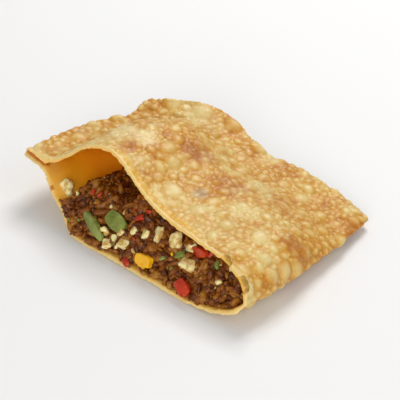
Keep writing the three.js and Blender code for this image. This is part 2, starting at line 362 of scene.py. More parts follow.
def crowded(place, normal, radius, crowding):
    """Whether a blister on the same side of the sheet is already too near."""
    for cell in product(*[range(c - 2, c + 3) for c in cell_of(place)]):
        for other in filed.get(cell, ()):
            near = crowding * (radius + other[2])
            if (place - other[0]).length < near and normal.dot(other[1]) > 0:
                return True
    return False


def add_blister(index, radius, crowding):
    place, normal = Vector(shell[index]), Vector(normals[index])
    if crowded(place, normal, radius, crowding):
        return
    height = radius * dice.uniform(0.20, 0.40) + LEAST_HEIGHT
    chance = Vector((dice.gauss(0, 1), dice.gauss(0, 1), dice.gauss(0, 1)))
    axis = normal.cross(chance).normalized()
    stretch = dice.uniform(0.78, 1.0)
    entry = (place, normal, radius, height, dice.uniform(0.7, 1.6), axis, stretch, dice.random())
    blisters.append(entry)
    filed.setdefault(cell_of(place), []).append(entry)


for x, y, radius in LARGE:
    away = np.hypot(shell[upper, 0] - x * MM, shell[upper, 1] - y * MM)
    add_blister(int(upper[np.argmin(away)]), radius * MM, 0.9)
candidates = np.flatnonzero(outside).tolist()
for low, high, tries, crowding in FAMILIES:
    for _ in range(tries):
        index = dice.choice(candidates)
        if high > 2 or busy[index] > dice.uniform(-1.3, 0.2):
            add_blister(index, dice.uniform(low, high) * MM, crowding)
print(len(blisters), "blisters", round(time.time() - started, 1), "s")

# %% Raise a dome over each
tree = KDTree(len(candidates))
for index in candidates:
    tree.insert(shell[index], index)
tree.balance()
BLEND = 4  # the power of the mean that joins two domes
BENT = 0.40 * MM  # how far a dome's outline strays from an oval
bent = shell + BENT * np.c_[
    waves(shell, 2.6 * MM, 71, 2), waves(shell, 2.6 * MM, 83, 2), waves(shell, 2.6 * MM, 97, 2)
]
dome = np.zeros(len(shell))
tallest = np.zeros(len(shell))
crown = np.zeros(len(shell))
tone = np.full(len(shell), 0.5)
for place, normal, radius, height, roundness, axis, stretch, shade in blisters:
    for _, index, _ in tree.find_range(place, radius * 1.55 + 0.3 * MM):
        if normal.dot(Vector(normals[index])) < 0.2:
            continue
        step = Vector(bent[index]) - place
        along = step.dot(axis)
        share = math.sqrt(max(0, step.length_squared + (stretch ** 2 - 1) * along ** 2)) / radius
        if share >= 1:
            continue
        lift = height * (1 - share * share) ** roundness
        dome[index] += lift ** BLEND
        if lift > tallest[index]:
            tallest[index] = lift
            crown[index] = 1 - share
            tone[index] = shade
dome = dome ** (1 / BLEND)
print("tallest dome", round(dome.max() / MM, 2), "mm", round(time.time() - started, 1), "s")

# %% [markdown]
# ## The open seam
# At the pointed end of the cut the two sheets aren't quite fried together. The knife shows this
# as a thin dark slit that runs from the corner of the pocket to the tip. On the cut edge we find
# the corner and the tip, and press the points near the line between them back from the knife.

# %% Find the slit
def from_line(at, start, end):
    """How far each point lies from the line between two others."""
    line = end - start
    share = np.clip((at - start) @ line / (line @ line), 0, 1)
    return np.linalg.norm(at - (start + share[:, None] * line), axis=1)


SLIT_FROM, SLIT_TO = 0.20 * MM, 0.75 * MM  # half its width at the bottom and at the edge
near_cut = np.abs(cut_distance) < 1.2 * MM
corner = shell[np.flatnonzero(inside & near_cut)][np.argmin(shell[inside & near_cut, 0])]
tip = shell[np.flatnonzero(at_cut)][np.argmin(shell[at_cut, 0])]
print("slit: pocket corner, seam tip in mm:", np.round(corner / MM, 1), np.round(tip / MM, 1))
ACROSS_AND_UP = [0, 2]
just_short = tip + 0.05 * (corner - tip)
off_slit = from_line(shell[:, ACROSS_AND_UP], corner[ACROSS_AND_UP], just_short[ACROSS_AND_UP])
slit = (1 - ramp(SLIT_FROM, SLIT_TO, off_slit)) * near_cut

# %% Find how deep each point of the cut edge lies in the wall
def distance_to(group):
    """How far each point of the cut edge is from the nearest point of a group."""
    members = np.flatnonzero(group & (cut_distance < 2.5 * MM))
    search = KDTree(len(members))
    for index in members.tolist():
        search.insert(shell[index], index)
    search.balance()
    found = np.zeros(len(shell))
    for index in np.flatnonzero(at_cut).tolist():
        found[index] = search.find(shell[index])[2]
    return found


to_outside = distance_to(outside)
to_inside = distance_to(inside)
wall_share = np.where(inside, 1.0, 0.0)  # 0 on the outside, 1 on the inside
wall_share[at_cut] = to_outside[at_cut] / (to_outside + to_inside)[at_cut]

# %% Find which way the sheet faces at each point
# Both sides of the sheet must roll together, or it would grow thin and thick in turn. So every
# point gets the direction of the outer side: its own, its opposite's, or its neighbour's.
sheet = np.where(inside[:, None], -normals, normals)
for index in np.flatnonzero(at_cut).tolist():
    sheet[index] = normals[tree.find(shell[index])[1]]

# %% Move the points
VALLEY = 0.3 * MM  # the skin between blisters lies this far below the CAD surface
ROLLING, RIPPLE = 0.6 * MM, 0.12 * MM  # slow and quick waves of the sheet
SLIT_DEPTH = 1.7 * MM
NIBBLED, TORN = 0.28 * MM, 0.22 * MM  # how uneven the lip is, across and along the sheet
rolling = waves(shell, 14 * MM, 3, 2)
ripple = waves(shell, 3.2 * MM, 5, 2)
free = ramp(0.0, 2.2 * MM, shell[:, 2])  # 0 where the crust rests on the table
off_lip = np.where(outside, ramp(0, 2.0 * MM, cut_distance), 0)
lift = np.where(outside, (dome - VALLEY) * off_lip, 0) * free
lift += (ROLLING * rolling + RIPPLE * ripple) * (0.15 + 0.85 * free)
moved = shell + sheet * lift[:, None]
moved += slit[:, None] * np.array([0.0, SLIT_DEPTH, 0.0])
nibbled = waves(shell, 2.3 * MM, 19, 2) * np.clip(1 - cut_distance / (3.0 * MM), 0, 1)
moved += sheet * (NIBBLED * nibbled * (0.2 + 0.8 * free))[:, None]
moved[:, 1] += TORN * np.where(at_cut, waves(shell, 1.4 * MM, 29, 2), 0)
print("lift in mm:", round(lift.min() / MM, 2), "to", round(lift.max() / MM, 2))

# %% [markdown]
# ## The pointed side of the lip
# Where the pocket ends, the lower sheet was pushed outwards when the half was lifted off the
# knife, and the upper sheet ends in a small rolled edge. Both are soft bumps of a few
# millimetres, so we add them to the points that we have, by their distance from the cut.

# %% Flare the lip and roll its upper edge
ROLLED = 1.4 * MM
sx, _, sz = (shell / MM).T
near_lip = 1 - ramp(0.5, 8, cut_distance / MM)
flare = np.exp(-((sz - 11) / 5) ** 2) * near_lip * (1 - ramp(-36, -30, sx))
moved[:, 0] -= flare * (1.2 + 2.0 * (1 - wall_share)) * MM
rolled = (1 - ramp(1.0, 4.5, cut_distance / MM)) * (1 - ramp(-50, -38, sx)) * ramp(18.4, 19.6, sz)
moved[:, 2] += ROLLED * rolled * (1 - wall_share) * ramp(-60.5, -57.0, sx)
print("points of the flare:", int((flare > 0.3).sum()), "of the roll:", int((rolled > 0.3).sum()))

# %% [markdown]
# ## Two blisters cut open
# By the fold the knife went through two blisters. There the sheet is split in two skins with a
# small hollow between them. The outer skin is pushed out round each, and the middle of the cut
# edge is pressed in.

# %% Open two blisters
OPENED = [  # x, z, direction along the lip, half length and swelling in mm
    (46.8, 19.6, (0.96, -0.28), 2.6, 1.6),
    (56.3, 14.6, (0.48, -0.88), 3.0, 2.3),
]
HOLLOW_DEPTH = 3.0 * MM
between_skins = np.sin(np.pi * np.clip((wall_share - 0.05) / 0.85, 0, 1))
by_the_lip = 1 - ramp(0.5, 6.0, cut_distance / MM)
opened = np.zeros(len(shell))
for cx, cz, (ax, az), half, swell in OPENED:
    along = (sx - cx) * ax + (sz - cz) * az
    close = np.abs((sx - cx) * -az + (sz - cz) * ax) < 5
    local = np.exp(-((along / half) ** 2)) * close * by_the_lip
    moved += sheet * (swell * MM * local * (1 - wall_share))[:, None]
    hollow = between_skins * (1 - ramp(0.6, 1.05, np.abs(along) / half))
    hollow *= at_cut & close
    moved[:, 1] += HOLLOW_DEPTH * hollow
    opened = np.maximum(opened, hollow)
print("points pressed in:", int((opened > 0.3).sum()))

# %% Set the points
ceiling = cad_box[1][2] + 0.9 * MM
moved[:, 2] = np.clip(moved[:, 2], 0.0, ceiling)
set_points(crust, moved)
finish_modifier(crust, "SMOOTH", factor=0.35, iterations=1)
place = points(crust)
print("crust from", np.round(place.min(axis=0) / MM, 1), "to", np.round(place.max(axis=0) / MM, 1))

# %% [markdown]
# ## Colour map of the crust
# Frying doesn't colour a crust evenly. The thin, exposed places by the seam and the tip go
# orange-brown, the sheet over the wet filling stays straw yellow, and here and there a patch is
# caught by the hot oil. Two marks are painted light: the high back flap is a little paler where
# the key light falls, and a cream band on the crest over the mouth is a painted sheen. We store
# these shares on the points for the material to read.

# %% Where it browned, where it stayed pale, and where light is painted
x, y, z = (place / MM).T
PATCHES = [  # x, y, radius in mm, strength: where the oil caught the crust
    (-5, 6, 8, 0.68), (53.5, -6, 6, 0.60), (-18, -20, 3.5, 0.45), (57, 4, 7, 0.25),
    (50, 30, 12, 0.12), (-14, 38, 12, 0.10), (14, 0, 10, 0.42), (36, 32, 10, 0.15),
    (-52, 20, 12, 0.12), (10, 34, 10, 0.15), (40, 8, 7, 0.18), (24, 22, 8, 0.15),
]
PALE = [  # x, y, radius in mm: where it stayed straw-coloured or blistered thin and cream
    (-30, -24, 11), (5.7, -20.5, 6), (19.8, -21, 6), (33, -22, 9), (54, -21, 6), (30, -8, 8),
    (-10, -24, 7), (-30, 30, 10), (45, -14, 6), (0, 38, 6),
]
SHEEN_BAND = [  # x, y, radius in mm: a cream band on the crest over the mouth, a painted sheen of the smooth stretched dough
    (-35, -10, 5), (-28, -13, 7), (-20, -11, 6),
]
ragged = waves(place, 7 * MM, 11, 4)
speckled = waves(place, 1.7 * MM, 15, 2)


def patch(px, py, radius, full, gone, frayed=0.3, freckled=0.15):
    """1 in the middle of a patch and 0 outside it, with a ragged, freckled border."""
    away = np.hypot(x - px, y - py) / radius + frayed * ragged + freckled * speckled
    return 1 - ramp(full, gone, away)


toast = 0.34 + 0.26 * waves(place, 16 * MM, 9, 4) + 0.14 * ragged + 0.10 * speckled
for px, py, radius, strength in PATCHES:
    toast += strength * patch(px, py, radius, 0.2, 1.35, 0.35, 0.22)
# More toast on the low sides, below 8 mm. The high back flap gets less toast: painted light, paler
# where the key light from behind falls on it.
toast += 0.14 * ramp(8, -2, z) - 0.06 * ramp(20, 36, y) * ramp(12, 16, z)
pale = ramp(0.0, 0.9, waves(place, 11 * MM, 21, 3) + 0.35 * (1 - ramp(-32, -6, y)))
for px, py, radius in PALE:
    pale = np.maximum(pale, patch(px, py, radius, 0.35, 1.2))
toast -= 0.12 * pale
# The cream band on the crest over the mouth is a painted sheen of the smooth stretched dough.
cream = np.zeros(len(place))
for px, py, radius in SHEEN_BAND:
    cream = np.maximum(cream, patch(px, py, radius, 0.4, 1.3))
print("mean toast", round(float(toast.mean()), 2), "mean pale", round(float(pale.mean()), 2))

# %% Store the shares
THIN_SPOT = (12.9, -13.0)  # one blister so thin that the dark filling shows through
LIP_SPOT = np.array([-40.3, -40.0, 12.2])  # a spot of red fat on the lip
upper_sheet = outside & (z > 12)
thin = 1 - ramp(1.5, 4.5, np.hypot(x - THIN_SPOT[0], y - THIN_SPOT[1]) + 1.5 * ragged)
edge = np.where(at_cut, 1.0, np.where(outside, 1 - ramp(0.6 * MM, 1.5 * MM, cut_distance), 0))
by_the_cut = 1 - ramp(2.0, 5.5, cut_distance / MM + 0.8 * ragged)
gilded = by_the_cut * ramp(-24, -12, x) * (1 - ramp(24, 36, x))
lip_spot = 1 - ramp(0.6, 1.9, np.linalg.norm(place / MM - LIP_SPOT, axis=1))
SHARES = {
    "dome": np.where(outside, np.clip(dome / (1.2 * MM), 0, 1), 0),
    "crown": np.where(outside, crown, 0.4),
    "tone": tone,
    "toast": np.clip(toast, 0, 1),
    "pale": np.clip(pale, 0, 1),
    "cream": np.where(upper_sheet, cream, 0),
    "thin": np.where(outside, thin, 0),
    "edge": edge,
    "inner": ramp(0.30, 0.85, wall_share),
    "deep": np.where(inside, ramp(1.5 * MM, 26 * MM, cut_distance), 0),
    "gilded": np.where(upper_sheet, gilded, 0),
    "opened": opened,
    "slit": np.maximum(slit, 0.75 * lip_spot),
}
for name, share in SHARES.items():
    keep_value(crust, name, share)
smooth_shaded(crust)
print("shares kept on the points:", ", ".join(SHARES))

# %% [markdown]
# ## Fewer faces where nobody looks
# The fine mesh has far more triangles than a reusable part should. Decimate takes a vertex
# group that says where it may thin the mesh: not at all on the upper side, a little underneath,
# and a lot on the flat belly and deep inside the pocket, which are smooth anyway.

# %% Thin out the faces that hardly show
MOST_TRIANGLES = 194000
underneath = outside & (normals[:, 2] < -0.2) & (z < 6)
belly = underneath & (z < 0.35)
near_mouth = inside & (cut_distance < 20 * MM)
hidden = crust.vertex_groups.new(name="hidden")
for part, weight in ((underneath, 0.30), (belly, 0.85), (inside, 0.85), (near_mouth, 0.70)):
    hidden.add(np.flatnonzero(part).tolist(), weight, "REPLACE")
finish_modifier(
    crust, "DECIMATE", ratio=MOST_TRIANGLES / (len(crust.data.polygons) * 2),
    vertex_group="hidden", vertex_group_factor=4.0,
)
print("points kept whole:", int((~inside & ~underneath).sum()))
print("crust:", len(crust.data.polygons), "faces", round(time.time() - started, 1), "s")

# %% [markdown]
# ## The crust's finish
# Fried dough is a little translucent and has a thin film of oil. Its colour runs from straw
# through gold to orange-brown, each blister is a bit paler on its crown than in the valleys
# round it, and some blisters are browner than others. The inside of the sheet is soaked with
# the orange fat of the filling, and its colour is lifted close to full brightness as a painted
# glow of the light that shines through the thin sheet. The knife's edge shows the pale crumb,
# a cream band on the crest over the mouth is a painted sheen, and the hollows of the two cut
# blisters get painted shade.

# %% Fried dough
dough, here, shader = new_material(
    "fried_dough", Subsurface_Weight=0.25, Subsurface_Scale=0.0016, Coat_Roughness=0.12,
    Specular_IOR_Level=0.38,
)
shader.inputs["Subsurface Radius"].default_value = (1.0, 0.55, 0.18)
grain = here.clouds(1300, 3)
mottle = here.clouds(300, 4)
stipple = here.clouds(760, 2)
spots = here.cells(640)
toast = here.attribute("toast")
browned = (
    toast * 0.92
    + (here.attribute("tone") - 0.5) * 0.20
    + (mottle - 0.5) * 0.55
    + (stipple - 0.5) * 0.30
    + (1 - here.attribute("dome")).step(0.35, 1.0) * 0.10
    - here.attribute("crown") * 0.18
)
fried = browned.coloured(
    (0.0, (0.74, 0.54, 0.190)),
    (0.20, (0.68, 0.42, 0.095)),
    (0.42, (0.61, 0.295, 0.028)),
    (0.68, (0.50, 0.180, 0.010)),
    (1.0, (0.41, 0.130, 0.003)),
)

# %% Pale crowns, pale patches, painted sheen and shade, and the special places of the crust
CROWN, STRAW, PAINTED_SHEEN = (0.78, 0.60, 0.26), (0.74, 0.60, 0.27), (0.84, 0.70, 0.36)
GOLD, SHOWN_THROUGH, CRUMB = (0.78, 0.44, 0.045), (0.40, 0.29, 0.17), (0.82, 0.60, 0.23)
# The second colour on the next line is painted shade: the dark inside of the two cut blisters.
RED_FAT, HOLLOW_SHADE = (0.60, 0.19, 0.012), (0.42, 0.25, 0.035)
crowned = (here.attribute("crown").step(0.15, 0.8) * 0.62 * (1 - toast)).mixed(fried, CROWN)
paled = (here.attribute("pale") * (0.30 + here.attribute("dome") * 0.25)).mixed(crowned, STRAW)
# Cream band over the mouth: painted sheen.
sheened = (here.attribute("cream") * 0.6).mixed(paled, PAINTED_SHEEN)
gilded = (here.attribute("gilded") * 0.7).mixed(sheened, GOLD)
thinned = (here.attribute("thin") * 0.6).mixed(gilded, SHOWN_THROUGH)
# The inside: orange fat, lifted close to full brightness as a painted glow of the light that comes
# through the thin sheet, and redder deeper in the pocket.
soaked_and_glowing = (here.attribute("deep") + (here.clouds(110, 3) - 0.5) * 0.5).coloured(
    (0.0, (0.88, 0.49, 0.08)),
    (0.16, (0.95, 0.46, 0.028)),
    (0.5, (0.99, 0.45, 0.010)),
    (1.0, (0.97, 0.34, 0.006)),
)
edged = here.attribute("edge").step(0.2, 0.9).mixed(thinned, CRUMB)
sided = here.attribute("inner").mixed(edged, soaked_and_glowing)
slitted = here.attribute("slit").step(0.25, 0.8).mixed(sided, RED_FAT)
# The hollows of the two cut blisters are darkened with painted shade.
shaded_hollows = (here.attribute("opened").step(0.25, 0.8) * 0.9).mixed(slitted, HOLLOW_SHADE)

# %% Put the finish on the crust
relief = grain * 0.30 + mottle * 0.5 + stipple * 0.35 + spots.step(0.0, 0.55) * 0.35
plug(
    shader,
    Base_Color=shaded_hollows,
    Roughness=0.31 + mottle * 0.34,
    Coat_Weight=(0.04 + mottle.step(0.45, 0.75) * 0.22) * (1 - toast * 0.7),
    Normal=bump(relief, 0.38, 0.28 * MM),
)
crust.data.materials.append(dough)
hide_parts("crust")
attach(crust, "root")
print("fried dough:", len(dough.node_tree.nodes), "nodes")

# %% [markdown]
# ## The core of the filling
# The crumbs of mince at the cut need something behind them, so that no light comes through
# from the back. Its mince is coloured darker than the crumbs: painted shade in the gaps between
# them and under the lip. The CAD filling is drawn in by a millimetre or two to make room for them.

# %% Draw the filling in
CORE_GRAIN = 0.8 * MM
DRAWN_IN, UNEVEN = 1.5 * MM, 0.5 * MM
core = merged_copy("filling", "filling_core")
finish_modifier(core, "REMESH", mode="VOXEL", voxel_size=CORE_GRAIN, adaptivity=0)
surface = points(core)
facing = point_normals(core)
core_skin = [(Vector(p), Vector(n)) for p, n in zip(surface, facing)]
finish_modifier(core, "SMOOTH", factor=0.5, iterations=2)
drawn_in = DRAWN_IN + UNEVEN * waves(surface, 4 * MM, 31, 3)
set_points(core, points(core) - point_normals(core) * drawn_in[:, None])
smooth_shaded(core)
print("core:", len(core.data.polygons), "faces", round(time.time() - started, 1), "s")

# %% Dark mince for the core, with painted shade between the crumbs
MOIST_MEAT = {"Coat_Weight": 0.12, "Coat_Roughness": 0.18, "Specular_IOR_Level": 0.3}
meat, here, shader = new_material("core_mince_and_painted_shade", **MOIST_MEAT)
fibre = here.clouds(520, 4, 0.6)
lumps = here.clouds(170, 3)
# Darker than the crumbs' mince: painted shade for the gaps between crumbs and under the lip.
flesh = (fibre * 0.6 + lumps * 0.6 - 0.1).coloured(
    (0.15, (0.020, 0.004, 0.0005)),
    (0.40, (0.080, 0.018, 0.001)),
    (0.60, (0.18, 0.050, 0.004)),
    (0.85, (0.34, 0.12, 0.015)),
)
plug(shader, Base_Color=flesh, Roughness=0.28 + fibre * 0.4, Normal=bump(fibre, 0.6, 0.4 * MM))
core.data.materials.append(meat)
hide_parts("filling")
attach(core, "root")
print("core's mince:", len(meat.node_tree.nodes), "nodes")

# %% [markdown]
# ## Crumbs of mince
# Mince cooks into small rounded lumps of all sizes. A few lumps are shaped from a sphere with
# noise, and copies of them, turned and sized by chance, are heaped over the part of the core
# that shows: its face at the cut and its top under the steam pocket. Hundreds of copies need a
# simple shape, so each lump has only a few dozen faces.

# %% Shape the lumps
def lump_shapes(count, seed, rough, squash=(1, 1, 1), splits=1):
    """Rounded irregular lumps of radius 1, as arrays of points and triangles."""
    shapes = []
    for number in range(count):
        bpy.ops.object.select_all(action="DESELECT")
        bpy.ops.mesh.primitive_ico_sphere_add(subdivisions=splits + 1, radius=1)
        ball = bpy.context.object
        at = points(ball)
        swell = waves(at, 1.1, seed + number * 1.7, 2)
        nicks = waves(at, 0.45, seed + number * 2.3 + 50, 2)
        at = at * (1 + rough * swell[:, None] + 0.15 * rough * nicks[:, None]) * np.array(squash)
        corners = np.array([tuple(face.vertices) for face in ball.data.polygons])
        shapes.append((at, corners))
        bpy.data.objects.remove(ball)
    return shapes


def heap(name, placed):
    """One mesh from (points, faces, matrix, value) copies; value is kept on the points."""
    all_points, all_faces, values, base = [], [], [], 0
    for at, corners, matrix, value in placed:
        turned = np.c_[at, np.ones(len(at))] @ np.array(matrix).T
        all_points.append(turned[:, :3])
        all_faces.append(corners + base)
        values += [value] * len(at)
        base += len(at)
    mesh = bpy.data.meshes.new(name)
    mesh.from_pydata(np.vstack(all_points).tolist(), [], np.vstack(all_faces).tolist())
    mesh.update()
    piece = bpy.data.objects.new(name, mesh)
    bpy.context.scene.collection.objects.link(piece)
    keep_value(piece, "shade", values)
    smooth_shaded(piece)
    print(name, len(placed), "copies,", len(mesh.polygons), "faces")
    return piece


# %% Find the filling's skin that shows
def surface_tree(piece):
    """A piece's faces, filed so that rays and nearest points are found quickly."""
    return BVHTree.FromPolygons(
        [tuple(point.co) for point in piece.data.vertices],
        [tuple(face.vertices) for face in piece.data.polygons],
    )


UP = Vector((0, 0, 1))
POCKET_BACK = 4 * MM  # nobody sees the filling behind this
HEADROOM = 2.2 * MM  # crumbs lie loose only where the roof is at least this high above them
dough_skin = surface_tree(crust)
shown = []
for at, normal in core_skin:
    to_knife = behind_knife(np.array([at]))[0]
    front = normal.y < -0.25 and to_knife < 10 * MM
    roof, _, _, height = dough_skin.ray_cast(at + 0.2 * MM * UP, UP, 30 * MM)
    open_above = to_knife < 6 * MM if roof is None else height > HEADROOM
    if front or (normal.z > 0.3 and open_above and at.y < POCKET_BACK):
        shown.append((at, normal))
print(len(shown), "points of the filling's skin show")

# %% [markdown]
# ## The larger pieces of pepper
# Five pieces of pepper are large enough to be solids of their own. Each CAD slab is rebuilt with
# small faces, softened as cooking softens pepper, and given a wavy surface. The two strips also
# narrow towards their ends, as strips cut from a round pepper do.

# %% Soften the slabs
PEPPERS = {  # CAD node: piece, slot
    "green_pepper_strip": ("green_strip", "green_pepper"),
    "green_pepper_slice": ("green_slice", "green_pepper"),
    "yellow_pepper": ("yellow_piece", "yellow_pepper"),
    "red_pepper_dice": ("red_piece", "red_pepper"),
    "red_pepper_strip": ("red_strip", "red_pepper"),
}
TAPERED = {"green_pepper_strip": 0.40, "red_pepper_strip": 0.25}


def tapered(at, most):
    """Narrows a strip towards both its ends."""
    middle = at.mean(axis=0)
    long_way = np.linalg.svd(at - middle, full_matrices=False)[2][0]
    along = ((at - middle) @ long_way)[:, None]
    share = np.abs(along) / np.abs(along).max()
    across = at - middle - along * long_way
    return middle + along * long_way + across * (1 - most * share ** 2)


def soft_slab(node, name, seed):
    piece = merged_copy(node, name)
    finish_modifier(piece, "REMESH", mode="VOXEL", voxel_size=0.22 * MM, adaptivity=0)
    finish_modifier(piece, "SMOOTH", factor=0.5, iterations=5)
    at = tapered(points(piece), TAPERED.get(node, 0))
    set_points(piece, at)
    push = 0.32 * MM * waves(at, 3.2 * MM, seed, 2) + 0.06 * MM * waves(at, 0.9 * MM, seed + 4, 2)
    set_points(piece, at + point_normals(piece) * push[:, None])
    smooth_shaded(piece)
    return piece


pepper_pieces = {}
for number, (node, (name, slot)) in enumerate(PEPPERS.items()):
    pepper_pieces[node] = soft_slab(node, name, 50 + 3 * number)
    print(name, len(pepper_pieces[node].data.polygons), "faces")

# %% Cooked pepper in three colours
def pepper_skin(name, deep, bright, edge):
    material, here, shader = new_material(
        name, Subsurface_Weight=0.15, Subsurface_Scale=0.0008, Coat_Weight=0.25,
        Coat_Roughness=0.12, Specular_IOR_Level=0.3,
    )
    cloud = here.clouds(190, 2)
    vein = here.clouds(900, 2)
    body = cloud.step(0.25, 0.75).mixed(deep, bright)
    tinted = (vein.step(0.55, 0.75) * 0.5).mixed(body, edge)
    plug(shader, Base_Color=tinted, Roughness=0.25 + vein * 0.25, Normal=bump(vein, 0.3, 0.2 * MM))
    return material


green = pepper_skin("green_pepper", (0.125, 0.150, 0.014), (0.29, 0.33, 0.065), (0.42, 0.43, 0.13))
yellow = pepper_skin("yellow_pepper", (0.86, 0.38, 0.003), (0.98, 0.56, 0.006), (0.98, 0.68, 0.05))
red = pepper_skin("red_pepper", (0.34, 0.016, 0.003), (0.60, 0.050, 0.006), (0.72, 0.18, 0.03))
for node, (name, slot) in PEPPERS.items():
    piece = pepper_pieces[node]
    piece.data.materials.append({"green": green, "yellow": yellow, "red": red}[slot.split("_")[0]])
    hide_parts(node)
    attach(piece, "root")
print("pepper skins:", green.name, yellow.name, red.name)

# %% [markdown]
# ## How crumbs are strewn
# A copy is thrown on a chance place of the skin that shows, and kept only if it suits: it isn't
# too near the others, it doesn't stick through the dough or into a piece of pepper, and it
# doesn't hang out of the mouth. One seeded dice makes every run the same.

# %% Helpers to strew crumbs
SETTLED = 1.2 * MM  # the loose top of the filling lies a little lower than the CAD solid
OVERHANG = 1.5 * MM
pepper_skins = [surface_tree(piece) for piece in pepper_pieces.values()]
dice = random.Random(23)


def clear_of(place, radius, skins):
    """Whether every skin is further from a place than radius."""
    return all((skin.find_nearest(place)[3] or 1) > radius for skin in skins)


def pierces(at, matrix, skins):
    """Whether a copy's outermost points lie beyond a skin, seen from the copy's middle."""
    middle = matrix.translation
    ends = np.r_[at.argmin(axis=0), at.argmax(axis=0)]
    for reach in (matrix @ Vector(at[index]) - middle for index in ends):
        if any(skin.ray_cast(middle, reach.normalized(), reach.length)[0] for skin in skins):
            return True
    return False


def overhangs(at, matrix):
    """Whether a copy reaches further out of the mouth than a crumb can cling."""
    placed_at = at @ np.array(matrix.to_3x3()).T + np.array(matrix.translation)
    return behind_knife(placed_at).min() < -OVERHANG


def random_turn():
    turn = Matrix.Rotation(dice.uniform(0, math.tau), 4, "X")
    turn @= Matrix.Rotation(dice.uniform(0, math.tau), 4, "Y")
    return turn @ Matrix.Rotation(dice.uniform(0, math.tau), 4, "Z")


def scatter(shapes, tries, low, high, apart, sink, taken, most):
    """Places up to so many copies on the filling's skin, with radii from low to high in mm."""
    placed = []
    for _ in range(tries):
        if len(placed) >= most:
            break
        at, normal = dice.choice(shown)
        radius = dice.uniform(low, high) * MM
        place = at - normal * (radius * dice.uniform(*sink) + SETTLED * max(0, normal.z) ** 2)
        if any((place - other).length < apart * (radius + size) for other, size in taken):
            continue
        if not clear_of(place, radius * 0.5, [dough_skin]):
            continue
        if not clear_of(place, radius * 0.7, pepper_skins):
            continue
        stretch = [radius * dice.uniform(0.8, 1.25) for _ in range(3)]
        matrix = Matrix.Translation(place) @ random_turn() @ Matrix.Diagonal((*stretch, 1))
        shape = dice.choice(shapes)
        if overhangs(shape[0], matrix):
            continue
        if pierces(shape[0], matrix, [dough_skin, *pepper_skins]):
            continue
        placed.append((*shape, matrix, dice.random()))
        taken.append((place, radius))
    return placed


# %% [markdown]
# ## Onion, and the small dice
# Between the crumbs lie cream-coloured pieces of onion and small dice of green, red and yellow
# pepper. The larger ones are put where the eye meets them in this half, on the nearest place of
# the filling's skin, and smaller ones are strewn by chance. Each kind is one mesh.

# %% Put pieces at chosen places
BOXED = 5  # the power that presses a ball towards a box: 2 leaves it a ball
PROUD = 0.12  # how far a piece's middle stands above the skin, as a share of its radius
filling_skin = surface_tree(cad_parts["filling"])
bit_places = []


def chopped(count, seed, squash):
    """Angular pieces, as a knife leaves them: a ball pressed towards a box."""
    shapes = []
    for at, corners in lump_shapes(count, seed, 0.34, splits=2):
        size = np.linalg.norm(at, axis=1, keepdims=True)
        boxed = at * size / (np.abs(at) ** BOXED).sum(axis=1, keepdims=True) ** (1 / BOXED)
        shapes.append((0.84 * boxed * np.array(squash), corners))
    return shapes


def put(shapes, spots):
    """Copies at (x, y, z, radius) in mm, moved onto the filling's skin and lying flat on it."""
    placed_bits = []
    for px, py, pz, radius in spots:
        at, normal, _, _ = filling_skin.find_nearest(Vector((px, py, pz)) * MM)
        lie = normal.to_track_quat("Z", "Y").to_matrix().to_4x4()
        spin = Matrix.Rotation(dice.uniform(0, math.tau), 4, "Z")
        tilt = Matrix.Rotation(dice.uniform(-0.8, 0.8), 4, "X")
        place = at + normal * radius * PROUD * MM
        grown = Matrix.Diagonal((*[radius * MM] * 3, 1))
        matrix = Matrix.Translation(place) @ lie @ spin @ tilt @ grown
        placed_bits.append((*dice.choice(shapes), matrix, dice.random()))
        bit_places.append((place, radius * 0.9 * MM))
    return placed_bits


def bits(name, spots, strewn, low, high, material, slot, squash):
    """One kind of piece: some at chosen spots, and small ones strewn between them."""
    placed_bits = put(chopped(5, 300 + strewn, squash), spots)
    small = lump_shapes(5, 400 + strewn, 0.4, squash)
    placed_bits += scatter(small, 2500, low, high, 0.6, (-0.5, 0.0), list(bit_places), strewn)
    piece = heap(name, placed_bits)
    piece.data.materials.append(material)
    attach(piece, "root")


# %% Onion's finish
onion_skin, here, shader = new_material(
    "onion", Subsurface_Weight=0.25, Subsurface_Scale=0.0009, Coat_Weight=0.3,
    Coat_Roughness=0.15, Specular_IOR_Level=0.3,
)
cloud = here.clouds(420, 3)
plug(
    shader,
    Base_Color=cloud.step(0.34, 0.58).mixed((0.60, 0.34, 0.06), (0.92, 0.79, 0.38)),
    Roughness=0.3 + cloud * 0.2,
    Normal=bump(cloud, 0.25, 0.15 * MM),
)
print("onion:", len(onion_skin.node_tree.nodes), "nodes")

# %% Onion and dice
ONION = [  # x, y, z, radius in mm, as in the three lists below
    (-8.7, -41.3, 8.2, 1.9), (-3.8, -41.2, 7.6, 1.4), (2.8, -37.3, 12.0, 1.5),
    (-5.2, -43.3, 5.1, 2.1), (1.7, -41.4, 7.6, 2.3), (7.6, -36.1, 12.4, 1.9),
    (27.0, -31.2, 14.0, 2.0), (12.7, -33.9, 13.9, 3.0), (20.3, -32.4, 14.1, 3.2),
    (30.3, -36.3, 10.3, 3.0), (-2.0, -39.5, 10.2, 1.4), (45.0, -34.5, 8.5, 1.3),
]
GREEN = [
    (25.7, -35.7, 12.2, 1.7), (40.4, -31.9, 13.3, 1.6), (25.9, -40.2, 7.7, 1.2),
    (19.6, -38.7, 9.1, 1.1),
]
RED = [
    (-19.5, -34, 16.1, 1.2), (-22.7, -34.6, 16.2, 1.1), (3.5, -30.3, 17.6, 1.2),
    (1.5, -33.1, 15.2, 1.6), (5.8, -44.0, 2.9, 1.7), (36.0, -30.0, 14.5, 1.2),
]
YELLOW = [(13.2, -42.6, 4.8, 1.1)]
